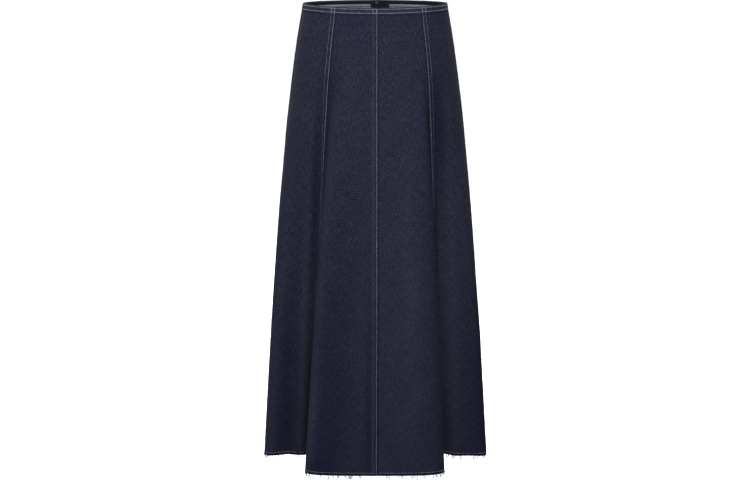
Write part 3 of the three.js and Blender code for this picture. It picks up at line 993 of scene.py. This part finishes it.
BUTTON_PROFILE = (
    (0, -1.9), (2.6, -1.9), (2.6, -0.1), (5.5, 0.0), (6.15, 0.35), (6.45, 1.0), (6.35, 1.7), (5.95, 2.35),
    (5.45, 2.55), (5.0, 2.4), (4.7, 2.05), (4.45, 1.95), (3.6, 2.05), (3.3, 2.3), (2.8, 2.5), (1.4, 2.72),
    (0, 2.75),
)
BACK_PROFILE = (
    (0, 0.0), (5.2, 0.0), (5.8, 0.25), (5.95, 0.7), (5.6, 1.15), (5.1, 1.3), (4.6, 1.12), (4.2, 1.0),
    (2.4, 1.05), (2.0, 1.3), (1.1, 1.5), (0, 1.52),
)
BUTTON_HEIGHT = 2.2
turned_piece("waist_button", BUTTON_PROFILE, -BUTTON_HEIGHT, 1)
turned_piece("waist_button_back", BACK_PROFILE, SHIELD_DEPTH + CLOTH + LAYER_GAP, -1)


def buttonhole_piece():
    """Dense thread bars round the buttonhole slit, which points to the edge of the lap."""
    length, width, pitch = 17.0, 3.4, 0.42
    middle = BUTTON_ALONG + 5.0
    half = (length - width) / 2
    straight = np.arange(-half, half, pitch)
    turn = np.linspace(-math.pi / 2, math.pi / 2, 14)
    outline = []
    for way in (1, -1):
        outline += [(way * x, -way * width / 2, 0, -way) for x in straight]
        for angle in turn:
            out_x, out_y = way * math.cos(angle), way * math.sin(angle)
            outline.append((way * half + width / 2 * out_x, width / 2 * out_y, out_x, out_y))
    points, faces, tones = [], [], []
    for x, y, out_x, out_y in outline:
        base = len(points)
        for reach, lift in ((-1.1, -0.05), (-0.5, 0.32), (0.5, 0.32), (1.1, -0.1)):
            for sway in (-0.2, 0.2):
                across = middle + x + out_x * reach - out_y * sway
                drop = BUTTON_DROP + y + out_y * reach + out_x * sway
                place = place_at(CENTRE_BACK, -across, drop)
                points.append(cloth(place, drop, lift))
        faces += [(base + 2 * k, base + 2 * k + 1, base + 2 * k + 3, base + 2 * k + 2) for k in range(3)]
        tones += [0.55 + 0.2 * math.sin(7.3 * base)] * 8
    piece = thread_piece("buttonhole_stitch", [(points, np.array(faces), tones)], TOPSTITCH)
    thickness = piece.modifiers.new("thread thickness", "SOLIDIFY")
    thickness.thickness = 0.25 * MM


buttonhole_piece()
for node_name, material in (("zip_tape", TAPE), ("zip_slider", METAL)):
    node_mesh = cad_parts[node_name].data
    node_mesh.materials.clear()
    node_mesh.materials.append(material)


# Frayed hem
def hanging_threads(random, from_place, to_place, count, lengths, curl, turns, radius, tone, spread):
    """Loose threads that leave the cut edge and hang down, each ending in a curl."""
    steps, sides, hidden = 16, 3, 1.0
    share = np.linspace(0, 1, steps)[None]
    start = random.uniform(from_place, to_place, (count, 1))
    length = random.uniform(lengths[0], lengths[1], (count, 1))
    lean = random.normal(0, 0.3, (count, 1)) * length
    turn = random.uniform(0.4, 1, (count, 1)) * turns * random.choice([-1, 1], (count, 1))
    phase = random.uniform(0, 6, (count, 1))
    wide = curl * random.uniform(0.6, 1.2, (count, 1)) * step_up(share, 0.15, 0.75)
    out = random.normal(0, 0.16, (count, 1)) * length * share + random.uniform(-0.9, -0.2, (count, 1))
    swing = 2 * math.pi * turn * share + phase
    across = lean * share ** 1.4 + wide * (np.cos(swing) - np.cos(phase) * (1 - share))
    down = -hidden + (length + hidden) * share ** 0.8 + 0.6 * wide * (np.sin(swing) - 1)
    out = out + 0.5 * wide * np.sin(swing * 0.7)
    hem = np.full((count, steps), LENGTH)
    place = place_at(np.broadcast_to(start, hem.shape), across, hem)
    path = cloth(place, hem) + outward(place, hem) * out[..., None]
    path[..., 2] -= down
    tangent = unit(np.gradient(path, axis=1))
    side_way = unit(np.cross(tangent, np.array([0.31, 0.77, 0.56])))
    up = np.cross(tangent, side_way)
    points = tubes(path, side_way, up, radius * np.linspace(1.0, 0.6, steps), sides)
    firsts = np.arange(count)[:, None] * steps * sides
    caps = np.concatenate([firsts + [2, 1, 0], firsts + (steps - 1) * sides + [0, 1, 2]])
    tones = np.repeat(np.clip(random.normal(tone, spread, count), 0, 1), steps * sides)
    return points, tube_faces(count, steps, sides), caps, tones


FRINGE_KINDS = (
    # threads per 100 mm, shortest and longest, curl, most turns, radius, tone, spread of tone
    (45, (1.0, 3.0), 0.4, 0.6, 0.18, 0.05, 0.15),
    (12, (3.0, 6.0), 0.9, 1.2, 0.3, 0.3, 0.2),
    (20, (6.0, 9.5), 1.9, 3.4, 0.52, 0.33, 0.2),
    (9, (9.5, 14.0), 1.6, 2.6, 0.46, 0.42, 0.15),
)


def fringe_piece(name, from_place, to_place, seed):
    """The loose threads below one gore."""
    random = np.random.RandomState(seed)
    width = float(arc(to_place, LENGTH) - arc(from_place, LENGTH))
    parts = [
        hanging_threads(random, from_place, to_place, int(width / 100 * density), *kind)
        for density, *kind in FRINGE_KINDS
    ]
    piece = thread_piece(f"{name}_threads", parts, FRAYED)
    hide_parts(name)
    return piece


FRINGE_SEED = 900
for index, (gore, ends) in enumerate(gore_spans.items()):
    kind, side = gore.rsplit("_", 1)
    fringe = fringe_piece(f"{kind}_fringe_{side}", *ends, FRINGE_SEED + index)

# Floor and backdrop, both plain and pale, and seen by the camera alone
FLOOR_Z = -1.02
STAGE_REACH = 30.0
stage_white, stage_shader = new_material("stage_white")
fill(stage_white, stage_shader, Base_Color=(0.8, 0.8, 0.8), Roughness=0.9, Emission_Color=(1, 1, 1),
     Emission_Strength=1.0)


def staged(name, mesh):
    """Adds a part of the stage, which neither lights nor shades the skirt."""
    mesh.materials.append(stage_white)
    piece = new_object(name, mesh)
    piece.visible_diffuse = False
    piece.visible_glossy = False
    piece.visible_shadow = False


floor_mesh = bpy.data.meshes.new("floor")
floor_corners = [
    (x * STAGE_REACH, y * STAGE_REACH, FLOOR_Z) for x, y in ((-1, -1), (1, -1), (1, 1), (-1, 1))
]
floor_mesh.from_pydata(floor_corners, [], [(0, 1, 2, 3)])
staged("floor", floor_mesh)
backdrop_mesh = bpy.data.meshes.new("backdrop")
backdrop_form = bmesh.new()
bmesh.ops.create_uvsphere(backdrop_form, u_segments=48, v_segments=24, radius=0.95 * STAGE_REACH)
backdrop_form.to_mesh(backdrop_mesh)
backdrop_form.free()
staged("backdrop", backdrop_mesh)


LIT_POINT = (0, 0, -0.3)


def area_light(name, place, size, power):
    """A soft square light that faces the skirt."""
    light = bpy.data.lights.new(name, "AREA")
    light.shape = "SQUARE"
    light.size = size
    light.energy = power
    lamp = new_object(name, light)
    lamp.location = place
    lamp.rotation_euler = (Vector(LIT_POINT) - Vector(place)).to_track_quat("-Z", "Y").to_euler()


area_light("key_front", (0.3, -3.2, 1.9), 1.5, 187)
area_light("side_left", (-3.1, -0.6, -0.6), 1.5, 45)
area_light("back_left", (-2.0, 2.9, 1.4), 1.8, 110)
area_light("back_right", (2.0, 2.9, 1.4), 1.8, 100)

world = bpy.data.worlds.new("studio")
world.use_nodes = True
fill(world, world.node_tree.nodes["Background"], Color=(1, 1, 1), Strength=0.12)
bpy.context.scene.world = world
bpy.context.scene.view_settings.view_transform = "Standard"

CAMERA_BACK = 5.63
CAMERA_UP = 0.361
CAMERA_ACROSS = -0.0004
CAMERA_TILT = math.radians(8.4325)
FOCAL_PIXELS = 2785
IMAGE_WIDTH = 750
camera_data = bpy.data.cameras.new("camera")
camera_data.sensor_width = 36
camera_data.lens = FOCAL_PIXELS / IMAGE_WIDTH * camera_data.sensor_width
camera_data.clip_end = 200
camera = new_object("camera", camera_data)
camera.location = (CAMERA_ACROSS, -CAMERA_BACK, CAMERA_UP)
camera.rotation_euler = (math.pi / 2 - CAMERA_TILT, 0, 0)
bpy.context.scene.camera = camera
